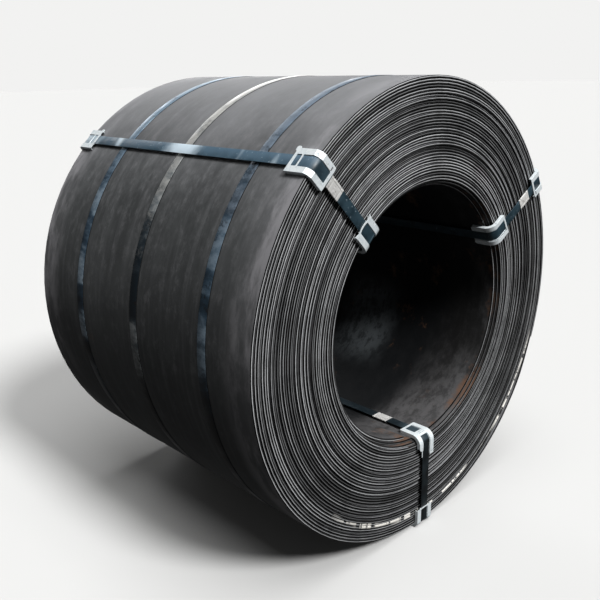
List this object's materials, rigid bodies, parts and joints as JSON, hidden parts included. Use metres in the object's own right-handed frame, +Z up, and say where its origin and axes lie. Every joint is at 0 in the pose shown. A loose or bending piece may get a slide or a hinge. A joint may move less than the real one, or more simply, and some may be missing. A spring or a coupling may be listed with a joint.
{
  "type": "steel coil",
  "caption": "Coil of hot-rolled steel strip lying with its eye level, strapped round its girth and through its eye over edge protectors.",
  "frame": {"origin": "on the floor, under the middle of the coil", "axes": "+Z up, +Y along the axis of the eye from the front end to the back end, +X to the right seen from the front"},
  "size_m": [1.355, 1.0414, 1.364],
  "materials": {
    "strip": "dark mill scale, matt to satin",
    "girth_strap": "blued steel strap, waxed",
    "eye_strap": "dark blue-green painted steel strap, satin",
    "seal": "zinc coated, matt",
    "protector": "galvanised sheet, pale and lightly spangled"
  },
  "bodies": {
    "root": {"coil": "strip", "girth_strap_front": "girth_strap", "girth_strap_middle": "girth_strap", "girth_strap_back": "girth_strap", "girth_seal_front": "seal", "girth_seal_middle": "seal", "girth_seal_back": "seal", "eye_strap_left": "eye_strap", "eye_strap_right": "eye_strap", "eye_strap_bottom": "eye_strap", "eye_seal_left": "seal", "eye_seal_right": "seal", "eye_seal_bottom": "seal", "outer_protector_left_front": "protector", "outer_protector_left_back": "protector", "outer_protector_right_front": "protector", "outer_protector_right_back": "protector", "outer_protector_bottom_front": "protector", "outer_protector_bottom_back": "protector", "inner_protector_left_front": "protector", "inner_protector_left_back": "protector", "inner_protector_right_front": "protector", "inner_protector_right_back": "protector", "inner_protector_bottom_front": "protector", "inner_protector_bottom_back": "protector"}
  },
  "joints": []
}
